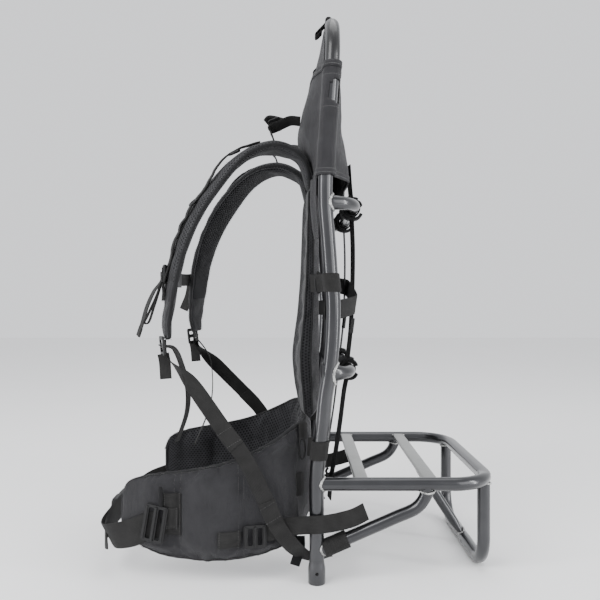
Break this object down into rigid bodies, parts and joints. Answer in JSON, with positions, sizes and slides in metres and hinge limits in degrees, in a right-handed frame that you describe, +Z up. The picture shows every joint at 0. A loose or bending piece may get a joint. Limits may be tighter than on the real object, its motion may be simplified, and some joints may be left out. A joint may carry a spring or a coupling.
{
  "type": "external frame backpack",
  "caption": "Load-carrying pack frame of bent aluminium tube with a fold-under shelf and foot, a cloth hood, back pad, shoulder straps and a padded hip belt.",
  "frame": {"origin": "centre of the bounding box in plan, on the floor that the frame stands on", "axes": "+Z up along the frame, +Y towards the load shelf, -Y towards the wearer, +X to the wearer's left"},
  "size_m": [0.3974, 0.622, 0.8777],
  "materials": {
    "frame_tube": "satin dark anodised",
    "slat": "satin",
    "shell_cloth": "woven, matt",
    "belt_cloth": "woven, matt",
    "pad_mesh": "spacer mesh, matt",
    "webbing": "ribbed webbing",
    "buckle_plastic": "satin moulded"
  },
  "bodies": {
    "root": {"back_pad": "pad_mesh", "belt_buckle": "buckle_plastic", "belt_lock_left": "buckle_plastic", "belt_lock_right": "buckle_plastic", "belt_patch_left": "webbing", "belt_patch_right": "webbing", "belt_sleeve_left": "webbing", "belt_sleeve_right": "webbing", "belt_tail_left": "webbing", "belt_tail_right": "webbing", "belt_webbing": "webbing", "brace_left": "frame_tube", "brace_right": "frame_tube", "ferrule_left": "frame_tube", "ferrule_right": "frame_tube", "foot_loop": "frame_tube", "foot_strut": "frame_tube", "haul_loop": "webbing", "hip_belt": "belt_cloth", "hood": "shell_cloth", "lifter_buckle_left": "buckle_plastic", "lifter_buckle_right": "buckle_plastic", "load_lifter_left": "webbing", "load_lifter_right": "webbing", "lower_crossbar": "frame_tube", "lower_webbing_left": "webbing", "lower_webbing_right": "webbing", "main_tube": "frame_tube", "pad_sleeve_left": "webbing", "pad_sleeve_right": "webbing", "rear_strap_left": "webbing", "rear_strap_right": "webbing", "shelf_hoop": "frame_tube", "shelf_slat_inner": "slat", "shelf_slat_outer": "slat", "shoulder_strap_left": "pad_mesh", "shoulder_strap_right": "pad_mesh", "stabiliser_lock_left": "buckle_plastic", "stabiliser_lock_right": "buckle_plastic", "stabiliser_patch_left": "webbing", "stabiliser_patch_right": "webbing", "stabiliser_strap_left": "webbing", "stabiliser_strap_right": "webbing", "sternum_buckle": "buckle_plastic", "sternum_slider_left": "buckle_plastic", "sternum_slider_right": "buckle_plastic", "sternum_strap": "webbing", "sternum_tail": "webbing", "strap_lock_left": "buckle_plastic", "strap_lock_right": "buckle_plastic", "strap_rail_left": "webbing", "strap_rail_right": "webbing", "strap_tab_left": "webbing", "strap_tab_right": "webbing", "strap_tail_left": "webbing", "strap_tail_right": "webbing", "tie_band": "webbing", "upper_crossbar": "frame_tube"}
  },
  "joints": []
}
